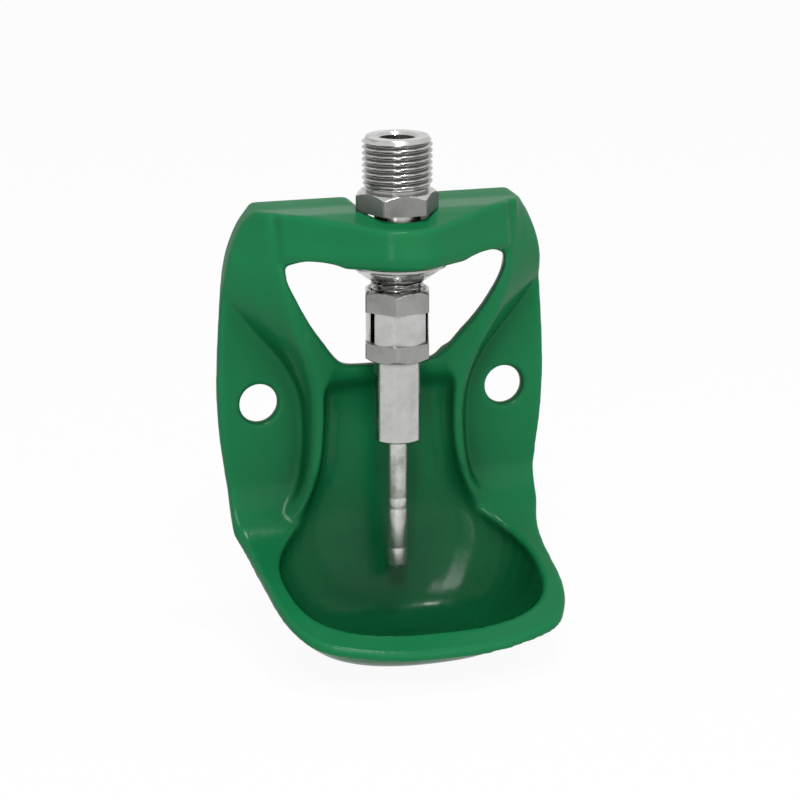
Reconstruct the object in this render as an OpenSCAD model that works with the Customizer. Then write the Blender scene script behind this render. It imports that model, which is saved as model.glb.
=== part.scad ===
// Wall-mounted drinking bowl for livestock: one cast bowl with two wings and a bridge,
// and a pipe valve whose rod hangs down into the bowl.
// Millimetres. +Z is up, the front looks along -Y, and the wall is the plane Y = 0.
// The origin lies midway between the two wall holes, on the casting's back.

/* [Wall holes] */
// Distance between the centres of the two wall holes
hole_spacing = 78; // [72:1:84]
// Diameter of each wall hole
hole_d = 12; // [9:0.5:14]

/* [Casting] */
// Greatest width across the two wings
wing_w = 103.6; // [98:0.2:112]
// Thickness of the cast wings and of the bent rim
wall_t = 4; // [3.5:0.25:5]
// Thickness of the rim at its lip
lip_t = 2.6; // [2.2:0.2:4]
// Thickness of the cast wall of the bowl
bowl_t = 4.5; // [3.5:0.25:5.5]
// Height of the bridge's rear edge above the wall holes
top_h = 62; // [60:0.5:66]
// Height of the bridge from its underside to its rear edge
bridge_h = 16.5; // [15:0.5:18]
// How far the deck around the valve lies below the bridge's rear edge
deck_drop = 1.1; // [0.6:0.1:2]
// Depth of the bowl's floor below the wall holes
floor_depth = 68.2; // [65:0.2:74]
// How far the lip stands out from the wall
lip_reach = 71; // [68:0.5:76]

/* [Bridge] */
// Distance of the valve's axis from the wall
axis_y = 19; // [18:0.5:20]
// Radius of the bridge's nose around the valve, at the top
nose_r = 17.4; // [16:0.2:18.4]
// Angle of the bridge's front faces to the wall, at the top
face_angle = 32.8; // [31:0.2:35]
// Half the width of the slot that takes the valve's stem
slot_r = 9.3; // [8.6:0.1:10]

/* [Inlet fitting] */
// Outside diameter of the half-inch pipe thread
inlet_thread_d = 20.955; // [20:0.005:21.5]
// Height of the inlet's mouth above the wall holes
inlet_top_h = 83.2; // [80:0.1:90]
// Width across the flats of the inlet's hexagon
inlet_hex_af = 22; // [21:0.5:24]
// Height of the inlet's hexagon
inlet_hex_h = 5.9; // [5:0.1:8]
// Diameter of the threaded stem
stem_d = 16; // [15:0.1:16.4]
// Diameter of the undercut below the hexagon
neck_d = 14; // [13.4:0.2:15]
// Diameter of the spring chamber in the stem
chamber_d = 12; // [11.8:0.1:12.4]
// Diameter of the water way above the spring chamber
water_way_d = 9.4; // [8:0.2:10]
// Diameter of the inlet's mouth, which holds the strainer
mouth_d = 11.2; // [11:0.1:13]

/* [Clamping nut] */
// Diameter of the clamping nut's flange
nut_d = 30.4; // [28:0.2:32]
// Width across the nut's flats
nut_af = 25.5; // [24:0.5:27]
// Height of the clamping nut
nut_h = 5.1; // [4.5:0.1:6.5]

/* [Guide body] */
// Height of the guide body's top above the wall holes
guide_top_h = 37.2; // [36:0.1:38.4]
// Width across the flats of the guide body's two hexagons
guide_af = 19; // [18.6:0.2:20]
// Height of the upper hexagon
upper_hex_h = 6.4; // [6:0.1:7.5]
// Height of the slotted round part between the hexagons
slotted_h = 9.6; // [8:0.1:12]
// Width of each slot in the round part
slot_w = 1.9; // [1.4:0.1:2.6]
// Height of the lower hexagon
lower_hex_h = 5.6; // [5:0.1:7]
// Outside diameter of the guide tube
tube_d = 14; // [13.8:0.1:14.6]
// Bore of the guide tube
tube_bore_d = 12; // [11.9:0.05:12.2]
// Length of the guide tube below the lower hexagon
tube_l = 25.3; // [22:0.1:28]

/* [Rod and spring] */
// Diameter of the rod
rod_d = 5.9; // [5.4:0.1:6]
// Length of the rod that stands out of the guide tube
rod_out = 41.4; // [34:0.2:42]
// Diameter of the rod's head
head_d = 10.6; // [10:0.1:10.8]
// Thickness of the rod's head at its rim
head_t = 1.6; // [1.2:0.1:2.4]
// Thickness of the rubber seal ring
seal_t = 2; // [1.5:0.1:2.4]
// Diameter of the spring's wire
wire_d = 0.9; // [0.7:0.05:1.1]
// Outside diameter of the spring
spring_d = 10.6; // [9.6:0.1:10.8]
// Turns of the spring
spring_turns = 5; // [4:1:7]
// Length of the fitted spring
spring_l = 12.6; // [11:0.1:14]

/* [Hidden] */
$fn = 64;
eps = 0.01;
bridge_bottom_h = top_h - bridge_h;
// Level well below the bowl and distance well in front of the lip, where cutting blocks end
deep = -floor_depth - 22;
far = lip_reach + 5;

// Gap between two pieces that move against each other, and radial play in a thread
play = 0.35;
thread_play = 0.05;

enamel = "#1c7a45";
steel = "#b8b7b2";
rubber = "#2a2a2a";

// Smooth curve through a list of points, with n steps between each pair
function spline(p, n) = [
    for (i = [0 : len(p) - 2], k = [0 : n - 1])
        let (a = p[max(i - 1, 0)], b = p[i], c = p[i + 1], d = p[min(i + 2, len(p) - 1)], t = k / n)
            0.5 * (2 * b + (c - a) * t + (2 * a - 5 * b + 4 * c - d) * t * t
                   + (3 * b - a - 3 * c + d) * t * t * t),
    p[len(p) - 1]
];
function reversed(p) = [for (i = [len(p) - 1 : -1 : 0]) p[i]];
function mirrored(p) = [for (q = reversed(p)) [-q[0], q[1]]];
// Closed outline from its right half, which starts and ends on the middle line
function both_sides(p) = concat(p, [for (q = reversed(p)) if (q[0] > eps) [-q[0], q[1]]]);

// Solid between closed rings of equal length, the first ring lowest
module loft(rings) {
    m = len(rings[0]);
    k = len(rings);
    points = [for (r = rings, q = r) q];
    sides = [
        for (j = [0 : k - 2], i = [0 : m - 1])
            let (a = j * m + i, b = j * m + (i + 1) % m, c = b + m, d = a + m)
                each [[a, c, b], [a, d, c]]
    ];
    bottom = [for (i = [0 : m - 1]) i];
    top = [for (i = [m - 1 : -1 : 0]) (k - 1) * m + i];
    polyhedron(points = points, faces = concat(sides, [bottom], [top]), convexity = 10);
}

// Casting
half_w = wing_w / 2;

// Right half of the front outline, from the rim up to the bridge
outline_right = spline([
    [half_w - 3.4, deep], [half_w - 3.1, -34], [half_w - 2.2, -22], [half_w - 0.7, -10], [half_w, 3],
    [half_w - 0.3, 15], [half_w - 1.1, 28], [half_w - 2.1, 40], [half_w - 3.7, 48], [half_w - 6.5, 55],
    [half_w - 9.5, 59.4], [half_w - 13.4, top_h + 1.6]
], 5);

// Right half of the plan outline of the rim, from the wall out to the middle of the lip
plan_right = spline([
    [half_w + 1.5, 3], [half_w + 0.2, -3], [half_w - 2.9, -7.5], [half_w - 5.5, -16], [half_w - 6.6, -28],
    [half_w - 7, -38], [half_w - 7.9, -47], [half_w - 10.2, -55], [half_w - 15.2, -62.6], [26, -67.4],
    [13, lip_reach * -0.9915], [0, -lip_reach]
], 5);

// Front face of the bent sheet that the wings and the rim are made of, as [y, z] from the top down
bend = spline([
    [-wall_t, -20], [-wall_t - 0.6, -27], [-7.4, -33.4], [-12.2, -38.6], [-18.6, -42.4],
    [-26, -45.1], [-34, -47.2], [-45, -50.1], [-55, -53.5], [-65, -57.2], [-far, -61.6]
], 4);
function tangent(p, i) = p[min(i + 1, len(p) - 1)] - p[max(i - 1, 0)];
function offset_line(p, t) = [
    for (i = [0 : len(p) - 1]) let (v = tangent(p, i)) p[i] + t[i] * [-v[1], v[0]] / norm(v)
];
// The sheet keeps its thickness down to the bend and then thins toward the lip
bend_t = [
    for (i = [0 : len(bend) - 1])
        let (k = max(0, 2 * i / (len(bend) - 1) - 1)) wall_t + k * (lip_t - wall_t)
];

// Inside of the channel and the bowl, as sections
// [height, half width, back, front, squareness]
inside = [
    [-floor_depth, 13, -27, -42.5, 2.2],
    [1.2 - floor_depth, 21, -21.5, -48.5, 2.3],
    [3.7 - floor_depth, 27.5, -17, -54, 2.4],
    [7.2 - floor_depth, 32, -14, -58.8, 2.5],
    [-57, 35.4, -11.8, -62.6, 2.6],
    [-52, 38, -9.6, -65.2, 2.8],
    [-47, 39.6, -7.6, -66.6, 3],
    [-42, 38.2, -6.4, -67, 3.4],
    [-37, 34.6, -5.2, -67, 3.8],
    [-31, 29.6, -4.4, -67, 4.4],
    [-24, 25.2, -4, -67, 5],
    [-16, 22.6, -4, -67, 5.8],
    [-4, 21.6, -4, -67, 6],
    [2, 21.8, -4.6, -67, 5.8],
    [5, 22.2, -6.8, -67, 5.6],
    [7.5, 22.6, -8.8, -67, 5.2],
    [10.5, 23.2, -9.8, -67, 4.8],
    [14, 25, -10.8, -67, 4.4]
];
inside_smooth = spline(inside, 2);
ring_n = 36;
function power(c, n) = sign(c) * pow(abs(c), 2 / n);
function ring(s, grow = 0, drop = 0) = [
    for (i = [0 : ring_n - 1])
        let (f = 360 * (i + 0.5) / ring_n, b = (s[2] - s[3]) / 2 + grow)
            [(s[1] + grow) * power(cos(f), s[4]), (s[2] + s[3]) / 2 + b * power(sin(f), s[4]), s[0] - drop]
];
// How far a section's wall leans, from 0 for upright to 90 for flat
function lean(p, i) = let (v = tangent(p, i)) v[0] < eps ? 0 : max(0, atan2(v[1], v[0]));
body_sections = [for (i = [0 : len(inside_smooth) - 1]) if (inside_smooth[i][0] < -22) i];

module inside_cut() {
    loft([for (s = inside_smooth) ring(s)]);
}

module bowl_body() {
    loft([for (i = body_sections)
        ring(inside_smooth[i], bowl_t * cos(lean(inside_smooth, i)), bowl_t * sin(lean(inside_smooth, i)))]);
}

// Everything that lies inside the front outline
module outline_block() {
    rotate([90, 0, 0])
        linear_extrude(height = lip_reach + 8)
            polygon(concat(outline_right, mirrored(outline_right)));
}

// Everything that lies behind or below the bent sheet's front face
module behind_bend() {
    translate([-half_w - 2, 0, 0])
        rotate([90, 0, 90])
            linear_extrude(height = wing_w + 4)
                polygon(concat([[-wall_t, top_h]], bend, [[-far, deep], [0, deep], [0, top_h]]));
}

module bent_sheet() {
    translate([-half_w - 2, 0, 0])
        rotate([90, 0, 90])
            linear_extrude(height = wing_w + 4)
                polygon(concat([[-wall_t, top_h]], bend, reversed(offset_line(bend, bend_t)), [[0, top_h]]));
}

module plan_block() {
    translate([0, 0, deep])
        linear_extrude(height = top_h - deep + 5)
            polygon(concat(plan_right, mirrored(plan_right)));
}

// Ridges beside the channel, which grow into the arms beside the window, as sections
// [height, inner x, inner y, crest x, crest y, foot x]
ridge = [
    [-38, 18, -9.2, 31.6, -10.2, 34],
    [-34, 17.6, -9.2, 28.8, -10, 33],
    [-28, 17, -9.4, 25.4, -10, 29.4],
    [-20, 16, -9.8, 23.4, -10.6, 27.4],
    [-10, 15, -10, 22.2, -10.8, 26.8],
    [0, 14.5, -10.4, 22.4, -11.6, 27.3],
    [7, 13.5, -10.6, 23.4, -12.8, 29.6],
    [14, 13, -10.6, 25.6, -14.6, 33.6],
    [20, 16, -12.2, 28.2, -16.3, 38.6],
    [26, 21, -16, 31, -17.6, 43.6],
    [32, 25, -18.4, 33, -18.8, 48.2],
    [38, 28, -20.4, 34.4, -19.2, 51.4],
    [44, 30, -21.4, 35.4, -18.6, 52.4],
    [50, 31, -20.6, 36.4, -17.4, 50.2],
    [56, 32, -18.8, 37.4, -15.6, 47],
    [top_h + 1.6, 33, -17.2, 38, -13.8, 42.8]
];
ridge_smooth = spline(ridge, 2);
// The bent sheet's front face where the ridges stand on it, as [height, y]
sheet_front = [for (p = reversed(bend)) [p[1], p[0]]];
// How far the ridges' feet stand proud of it
foot_rise = [[-38, -0.5], [-31, 0.7]];
function arm_ring(s, side) =
    let (
        f = lookup(s[0], sheet_front),
        q = [
            [s[1], f + 3], [s[1], s[2]], [s[3] - 1.8, s[4] + 0.2], [s[3], s[4]], [s[3] + 1.5, s[4] + 1.1],
            [(s[3] + s[5]) / 2 + 0.6, (s[4] + f) / 2 + 0.2], [s[5] - 0.8, f - lookup(s[0], foot_rise)],
            [s[5] + 0.6, f + 0.6], [s[5] + 0.6, f + 3]
        ]
    )
    [for (p = side < 0 ? reversed(q) : q) [side * p[0], p[1], s[0]]];
module arm(side) {
    loft([for (s = ridge_smooth) arm_ring(s, side)]);
}

// Hollow behind each arm, open to the wall and to the window, which deepens from its lower end
arm_skin = 4.6;
hollow_foot_h = 9;
hollow_full_h = 17;
hollow_top_h = 51;
hollow_sections = [for (s = ridge_smooth) if (s[0] > hollow_foot_h && s[0] < hollow_top_h) s];
function hollow_y(y, z) =
    1 + (y + arm_skin - 1) * min(1, (z - hollow_foot_h) / (hollow_full_h - hollow_foot_h));
function hollow_ring(s, side) =
    let (
        slope = (s[5] - s[3]) / (-wall_t - s[4]),
        q = [
            [s[1] - 6, 1], [s[1] - 6, hollow_y(s[2], s[0])], [s[3] - 1, hollow_y(s[4], s[0])],
            [s[5] - slope * (1 + wall_t), 1]
        ]
    )
    [for (p = side < 0 ? reversed(q) : q) [side * p[0], p[1], s[0]]];
module arm_hollow(side) {
    loft([for (s = hollow_sections) hollow_ring(s, side)]);
}

// Plan of the bridge: a nose round the valve and two straight front faces that end in the arms
arc_n = 14;
shoulder_x = 35;
bridge_end_x = 43;
bridge_back_y = -1.6;
function face_y(x, r, a) = x * tan(a) - axis_y - r / cos(a);
function face_plan(x, r, a) = concat(
    [[-x, face_y(x, r, a)]],
    [for (i = [0 : arc_n]) let (f = -90 - a + 2 * a * i / arc_n) [r * cos(f), r * sin(f) - axis_y]],
    [[x, face_y(x, r, a)]]
);
// Levels of the bridge as [height, radius added to the nose, angle taken off the faces], up past the deck
bridge_levels = [
    [bridge_bottom_h, -1.8, 0.8], [bridge_bottom_h + 0.5, -0.2, 0.9], [bridge_bottom_h + 1.6, 0.9, 1.1],
    [bridge_bottom_h + 3.4, 1.3, 1], [bridge_bottom_h + 8, 0.6, 0.5], [top_h - 1, 0, 0], [top_h + 2.9, 0, 0]
];
// The bridge's top from the wall to the nose, as [distance from the wall, drop]
deck = [[0, 0], [5, 0.5], [9, deck_drop], [axis_y + 1, deck_drop], [axis_y + 5, deck_drop + 0.7],
        [axis_y + 9, deck_drop + 1.6], [axis_y + 13, deck_drop + 2.4], [axis_y + 19, deck_drop + 3.1]];
deck_h = top_h - deck_drop;
module bridge() {
    loft([for (v = bridge_levels)
        let (
            face = face_plan(shoulder_x, nose_r + v[1], face_angle - v[2]),
            left = [[-bridge_end_x, bridge_back_y], [-bridge_end_x, bridge_back_y - 1]],
            right = [[bridge_end_x, bridge_back_y - 1], [bridge_end_x, bridge_back_y]]
        )
            [for (p = concat(left, face, right)) [p[0], p[1], v[0]]]]);
}

// Everything below the bridge's top
module below_deck() {
    translate([-half_w - 5, 0, 0])
        rotate([90, 0, 90])
            linear_extrude(height = wing_w + 10)
                polygon(concat([[2, top_h]], [for (d = deck) [-d[0], top_h - d[1]]],
                               [[-far, deck_h - 3.1], [-far, deep], [2, deep]]));
}

// Hollow under each half of the bridge's deck, open below and to the wall
deck_t = 5.5;
skirt_t = 5.5;
boss_r = nut_d / 2 + 0.6;
hollow_w = 40;
module deck_hollow() {
    difference() {
        translate([0, 0, bridge_bottom_h - 1])
            linear_extrude(height = deck_h - deck_t - bridge_bottom_h + 1)
                polygon(concat([[-hollow_w, 1]], face_plan(hollow_w, nose_r - skirt_t, face_angle), [[hollow_w, 1]]));
        translate([0, -axis_y, 0])
            cylinder(r = boss_r, h = top_h);
        translate([-boss_r, -axis_y, 0])
            cube([2 * boss_r, axis_y + 2, top_h]);
    }
}

// Slot for the valve's stem, open to the wall
module stem_slot() {
    translate([0, -axis_y, bridge_bottom_h - 1])
        cylinder(r = slot_r, h = top_h);
    translate([-slot_r, -axis_y, bridge_bottom_h - 1])
        cube([2 * slot_r, axis_y + 1, top_h]);
    mouth_edge(1);
    mouth_edge(-1);
}

// Rounding of the deck's edge at the slot's mouth
mouth_r = 4;
mouth_depth = 7;
module mouth_edge(side) {
    rotate([90, 0, 0])
        translate([side * (slot_r + 0.92 * mouth_r), top_h - 0.92 * mouth_r, -2])
            linear_extrude(height = mouth_depth + 2)
                difference() {
                    translate([side < 0 ? 0 : -mouth_r - 1, 0])
                        square([mouth_r + 1, mouth_r + 2]);
                    circle(r = mouth_r);
                }
}

// Window between the bridge and the channel's back, which widens a little toward the wall at its top
window_bottom_h = 11.4;
window_right = spline([
    [0, window_bottom_h], [10, window_bottom_h + 0.1], [14.6, window_bottom_h + 1.1], [18.2, 16], [21.7, 20.8],
    [25.6, 26.6], [29.4, 33.4], [32.2, 39.4], [33, 43.4], [32, 46.4], [28, 48.2], [0, 48.2]
], 4);
window_front = 22;
window_draft = 0.22;
function draft(z, depth) = window_draft * max(0, window_front - depth) * max(0, z - 20) / 25;
module window() {
    rotate([90, 0, 0])
        loft([for (depth = [-2, window_front, window_front + 18])
            [for (p = both_sides(window_right)) [p[0] + sign(p[0]) * draft(p[1], depth), p[1], depth]]]);
}

// Arch of the bridge's underside beside the nut's seat
arch_right = spline([
    [0, 38], [33.6, 38], [33.6, 42.6], [32.2, 45.8], [29.4, 47.3], [25, bridge_bottom_h + 2],
    [20, bridge_bottom_h + 1.2], [16.4, bridge_bottom_h - 0.2], [0, bridge_bottom_h - 0.4]
], 3);
module arch() {
    rotate([90, 0, 0])
        translate([0, 0, -3])
            linear_extrude(height = 45)
                polygon(both_sides(arch_right));
}

// Bead along the window's lower edge, where the channel's back leans forward
bead_w = 20;
bead_front = 11;
bead_foot_h = -4;
bead_top_h = 14;
lean_foot_h = 0.5;
lean_y = 6.4;
module bead() {
    translate([-bead_w, -bead_front, bead_foot_h])
        cube([2 * bead_w, bead_front - 0.5, bead_top_h - bead_foot_h]);
}

// Slope of the bead's rear face, cut from behind
module bead_back() {
    translate([-bead_w - 2, 0, 0])
        rotate([90, 0, 90])
            linear_extrude(height = 2 * bead_w + 4)
                polygon([[1, lean_foot_h], [-lean_y, window_bottom_h + 0.4],
                         [-lean_y, bead_top_h + 1], [1, bead_top_h + 1]]);
}

module shell() {
    intersection() {
        union() {
            bent_sheet();
            intersection() {
                bowl_body();
                behind_bend();
            }
        }
        plan_block();
    }
    arm(1);
    arm(-1);
    bead();
}

module bowl_casting() {
    color(enamel)
        intersection() {
            difference() {
                union() {
                    difference() {
                        shell();
                        inside_cut();
                        window();
                        bead_back();
                        arm_hollow(1);
                        arm_hollow(-1);
                    }
                    difference() {
                        bridge();
                        arch();
                    }
                }
                deck_hollow();
                stem_slot();
                for (side = [-1, 1])
                    translate([side * hole_spacing / 2, 1, 0])
                        rotate([90, 0, 0])
                            cylinder(d = hole_d, h = 20);
            }
            outline_block();
            below_deck();
        }
}

// Valve
slot_angle = 82.4;
guide_angle = 13.4;
inlet_angle = 56.2;
nut_angle = 34.4;
module on_axis() {
    translate([0, -axis_y, 0])
        children();
}
function across(af) = af / sqrt(3);

// Hexagon whose corners are turned off at the ends named: 1 for the top, -1 for the bottom
module turned_hex(af, z0, z1, ends) {
    intersection() {
        translate([0, 0, z0])
            cylinder(r = across(af), h = z1 - z0, $fn = 6);
        for (e = ends)
            translate([0, 0, e > 0 ? z0 - 20 : z1 + 20])
                mirror([0, 0, e > 0 ? 0 : 1])
                    union() {
                        cylinder(r = across(af) + 1, h = z1 - z0 + 20 - (across(af) + 1 - af / 2) * 0.55);
                        translate([0, 0, z1 - z0 + 20 - (across(af) + 1 - af / 2) * 0.55])
                            cylinder(r1 = across(af) + 1, r2 = af / 2, h = (across(af) + 1 - af / 2) * 0.55);
                    }
    }
}

inlet_hex_top = deck_h + inlet_hex_h;
seal_bottom_h = guide_top_h - 5.6;
stem_bottom_h = seal_bottom_h + seal_t;
head_h = stem_bottom_h + play;
cup_h = head_h + head_t + 0.8;
cup_t = 0.8;
spring_bottom_h = cup_h + cup_t;
chamber_top_h = spring_bottom_h + spring_l;
mouth_l = 11;

module inlet_fitting() {
    color(steel)
        on_axis()
            difference() {
                union() {
                    rotate_extrude()
                        polygon([
                            [0, stem_bottom_h], [stem_d / 2 - 0.8, stem_bottom_h], [stem_d / 2, stem_bottom_h + 0.8],
                            [stem_d / 2, deck_h - 5.6], [neck_d / 2, deck_h - 4.6], [neck_d / 2, inlet_hex_top - 1],
                            [inlet_thread_d / 2 - 1.2, inlet_hex_top], [inlet_thread_d / 2 - 1.2, inlet_hex_top + 0.8],
                            [inlet_thread_d / 2, inlet_hex_top + 2], [inlet_thread_d / 2, inlet_top_h - 1.3],
                            [inlet_thread_d / 2 - 1.3, inlet_top_h], [0, inlet_top_h]
                        ]);
                    rotate([0, 0, inlet_angle])
                        turned_hex(inlet_hex_af, deck_h, inlet_hex_top, [1]);
                }
                rotate_extrude()
                    polygon([
                        [0, stem_bottom_h - 1], [chamber_d / 2, stem_bottom_h - 1], [chamber_d / 2, chamber_top_h],
                        [water_way_d / 2, chamber_top_h], [water_way_d / 2, inlet_top_h - mouth_l],
                        [mouth_d / 2, inlet_top_h - mouth_l], [mouth_d / 2, inlet_top_h - 0.8],
                        [mouth_d / 2 + 1.8, inlet_top_h + 1], [0, inlet_top_h + 1]
                    ]);
            }
}

// Cup-shaped sieve that stands on the step in the inlet's mouth
strainer_r = water_way_d / 2 - play;
strainer_l = 9;
module inlet_strainer() {
    rim_h = inlet_top_h - mouth_l;
    color(steel)
        on_axis()
            difference() {
                rotate_extrude()
                    polygon([
                        [0, rim_h - strainer_l], [strainer_r, rim_h - strainer_l], [strainer_r, rim_h],
                        [mouth_d / 2 - play, rim_h], [mouth_d / 2 - play, rim_h + 0.6],
                        [strainer_r - 0.6, rim_h + 0.6], [strainer_r - 0.6, rim_h - strainer_l + 0.6],
                        [0, rim_h - strainer_l + 0.6]
                    ]);
                for (i = [0 : 5], j = [0 : 1])
                    rotate([0, 0, 60 * i + 30 * j])
                        translate([strainer_r - 1.5, 0, rim_h - 2.6 - 3.4 * j])
                            rotate([0, 90, 0])
                                cylinder(d = 1.6, h = 3, $fn = 24);
            }
}

module clamp_nut() {
    nut_top = bridge_bottom_h;
    color(steel)
        on_axis()
            difference() {
                intersection() {
                    rotate_extrude()
                        polygon([
                            [0, nut_top - nut_h], [nut_d * 0.3, nut_top - nut_h], [nut_d * 0.335, nut_top - nut_h + 0.7],
                            [nut_d * 0.43, nut_top - 2.2], [nut_d / 2, nut_top - 0.9], [nut_d / 2, nut_top], [0, nut_top]
                        ]);
                    rotate([0, 0, nut_angle])
                        union() {
                            translate([0, 0, nut_top - nut_h - 1])
                                cylinder(r = across(nut_af), h = nut_h, $fn = 6);
                            translate([0, 0, nut_top - 1.6])
                                cylinder(d = nut_d + 2, h = 3);
                        }
                }
                translate([0, 0, nut_top - nut_h - 1])
                    cylinder(r = stem_d / 2 + thread_play, h = nut_h + 2);
            }
}

upper_hex_bottom = guide_top_h - upper_hex_h;
lower_hex_top = upper_hex_bottom - slotted_h;
lower_hex_bottom = lower_hex_top - lower_hex_h;
tube_bottom_h = lower_hex_bottom - tube_l;
module guide_body() {
    color(steel)
        on_axis()
            difference() {
                union() {
                    rotate([0, 0, guide_angle])
                        turned_hex(guide_af, upper_hex_bottom, guide_top_h, [1]);
                    rotate([0, 0, guide_angle])
                        turned_hex(guide_af, lower_hex_bottom, lower_hex_top, [-1]);
                    rotate_extrude()
                        polygon([
                            [0, tube_bottom_h], [tube_d / 2 - 0.4, tube_bottom_h], [tube_d / 2, tube_bottom_h + 0.4],
                            [tube_d / 2, lower_hex_bottom + 1], [guide_af / 2, lower_hex_bottom + 1],
                            [guide_af / 2, upper_hex_bottom + 1], [0, upper_hex_bottom + 1]
                        ]);
                }
                rotate_extrude()
                    polygon([
                        [0, tube_bottom_h - 1], [tube_bore_d / 2 + 0.3, tube_bottom_h - 1],
                        [tube_bore_d / 2 + 0.3, tube_bottom_h], [tube_bore_d / 2, tube_bottom_h + 0.5],
                        [tube_bore_d / 2, seal_bottom_h], [stem_d / 2 + thread_play, seal_bottom_h],
                        [stem_d / 2 + thread_play, guide_top_h - 0.8], [stem_d / 2 + 0.8, guide_top_h + 1],
                        [0, guide_top_h + 1]
                    ]);
                for (i = [0 : 2])
                    rotate([0, 0, slot_angle + 120 * i])
                        translate([0, -slot_w / 2, lower_hex_top + 0.3])
                            cube([guide_af, slot_w, slotted_h - 0.5]);
            }
}

seal_hole_d = rod_d + 1.5;
module valve_seal() {
    color(rubber)
        on_axis()
            translate([0, 0, seal_bottom_h])
                difference() {
                    cylinder(r = stem_d / 2 - 0.1, h = seal_t);
                    translate([0, 0, -1])
                        cylinder(d = seal_hole_d, h = seal_t + 2);
                }
}

// The head's underside rises outwards a little more than the rod can tilt
tilt = 4.2;
rod_tip_h = tube_bottom_h - rod_out;
module valve_rod() {
    color(steel)
        on_axis()
            rotate_extrude()
                polygon([
                    [0, rod_tip_h], [rod_d / 2 - 1.3, rod_tip_h + 0.25], [rod_d / 2 - 0.4, rod_tip_h + 0.9],
                    [rod_d / 2, rod_tip_h + 2], [rod_d / 2, head_h + 0.1],
                    [head_d / 2, head_h + (head_d / 2) * tan(tilt)], [head_d / 2, head_h + head_t],
                    [2.6, head_h + head_t], [2, cup_h - 0.2], [0.8, cup_h - 0.05], [0, cup_h - 0.05]
                ]);
}

module spring_cup() {
    color(steel)
        on_axis()
            rotate_extrude()
                polygon([
                    [0, cup_h], [head_d / 2, cup_h], [head_d / 2, spring_bottom_h],
                    [spring_d / 2 - wire_d - 0.4, spring_bottom_h], [spring_d / 2 - wire_d - 0.8, spring_bottom_h + 1.6],
                    [spring_d / 2 - wire_d - 1.6, spring_bottom_h + 1.6], [spring_d / 2 - wire_d - 1.6, spring_bottom_h],
                    [0, spring_bottom_h]
                ]);
}

// Wound wire as a swept eight-sided section
wire_n = 8;
turn_n = 18;
spring_r = (spring_d - wire_d) / 2;
spring_steps = spring_turns * turn_n;
spring_rise = (spring_l - wire_d - 0.1) / (spring_turns - 1.5);
function coil_z(i) =
    let (t = i / turn_n)
    spring_bottom_h + 0.05 + wire_d / 2 + spring_rise * min(max(t - 0.75, 0), spring_turns - 1.5);
module valve_spring() {
    rings = [for (i = [0 : spring_steps])
        let (a = 360 * i / turn_n)
            [for (k = [0 : wire_n - 1])
                let (b = 360 * k / wire_n, r = spring_r + wire_d / 2 * cos(b))
                    [r * cos(a), r * sin(a), coil_z(i) + wire_d / 2 * sin(b)]]];
    color(steel)
        on_axis()
            loft([for (q = rings) reversed(q)]);
}

bowl_casting();
inlet_fitting();
inlet_strainer();
clamp_nut();
guide_body();
valve_seal();
valve_rod();
spring_cup();
valve_spring();
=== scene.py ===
"""Looks of a wall-mounted drinking bowl for livestock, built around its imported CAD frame.

Every mesh is in metres, in the frame of the CAD part: +Z up, the front along -Y, the wall at Y = 0. The
sizes of the turned pieces are given in millimetres, as on a drawing, with radii about the valve's axis
and heights along Z, and are scaled where a mesh is made.
"""

import logging
import math
from collections.abc import Callable, Sequence
from dataclasses import dataclass, field
from enum import Enum

import bmesh
import bpy
import numpy as np
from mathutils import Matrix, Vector


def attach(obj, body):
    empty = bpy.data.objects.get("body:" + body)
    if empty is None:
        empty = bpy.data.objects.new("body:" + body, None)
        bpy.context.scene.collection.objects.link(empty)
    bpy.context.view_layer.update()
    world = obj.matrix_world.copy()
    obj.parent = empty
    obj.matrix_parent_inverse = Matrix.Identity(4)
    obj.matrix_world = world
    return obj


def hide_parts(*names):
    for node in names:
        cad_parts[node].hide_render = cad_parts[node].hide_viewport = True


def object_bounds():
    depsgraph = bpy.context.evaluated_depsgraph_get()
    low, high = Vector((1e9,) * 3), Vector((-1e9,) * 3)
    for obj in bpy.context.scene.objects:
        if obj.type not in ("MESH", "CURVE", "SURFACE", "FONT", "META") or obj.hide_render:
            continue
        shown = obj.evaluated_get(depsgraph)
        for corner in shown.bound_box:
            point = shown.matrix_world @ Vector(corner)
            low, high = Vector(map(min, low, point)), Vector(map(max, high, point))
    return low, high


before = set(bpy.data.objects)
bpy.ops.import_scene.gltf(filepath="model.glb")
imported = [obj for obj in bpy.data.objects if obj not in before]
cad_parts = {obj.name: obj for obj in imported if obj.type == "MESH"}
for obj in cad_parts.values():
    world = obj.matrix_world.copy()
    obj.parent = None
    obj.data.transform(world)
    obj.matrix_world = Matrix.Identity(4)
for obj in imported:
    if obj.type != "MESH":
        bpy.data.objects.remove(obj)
CAD_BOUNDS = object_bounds()

logging.basicConfig(level=logging.INFO, format="%(message)s")
log = logging.getLogger("drinking_bowl")

MM = 0.001
AXIS_Y = -19.0 * MM

# Distance in millimetres between two rings that make a sharp step in a piece's outside.
STEP = 0.001

# Sockets of a Mix node that is set to colours, where the names alone aren't unique.
MIX_MASK, MIX_LOW, MIX_HIGH, MIX_RESULT = 0, 6, 7, 2

Rgb = tuple[float, float, float]
Profile = Sequence[tuple[float, float]]
Source = bpy.types.NodeSocket | float | Rgb


class Slot(Enum):
    """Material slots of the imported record."""

    ENAMEL = "green_enamel"
    STAINLESS = "stainless_steel"
    DRAWN = "drawn_steel"
    SPRING = "spring_steel"
    RUBBER = "black_rubber"


class Body(Enum):
    """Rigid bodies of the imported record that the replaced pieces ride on."""

    HOUSING = "housing"
    ROD = "rod"


# ---- shader nodes


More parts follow.
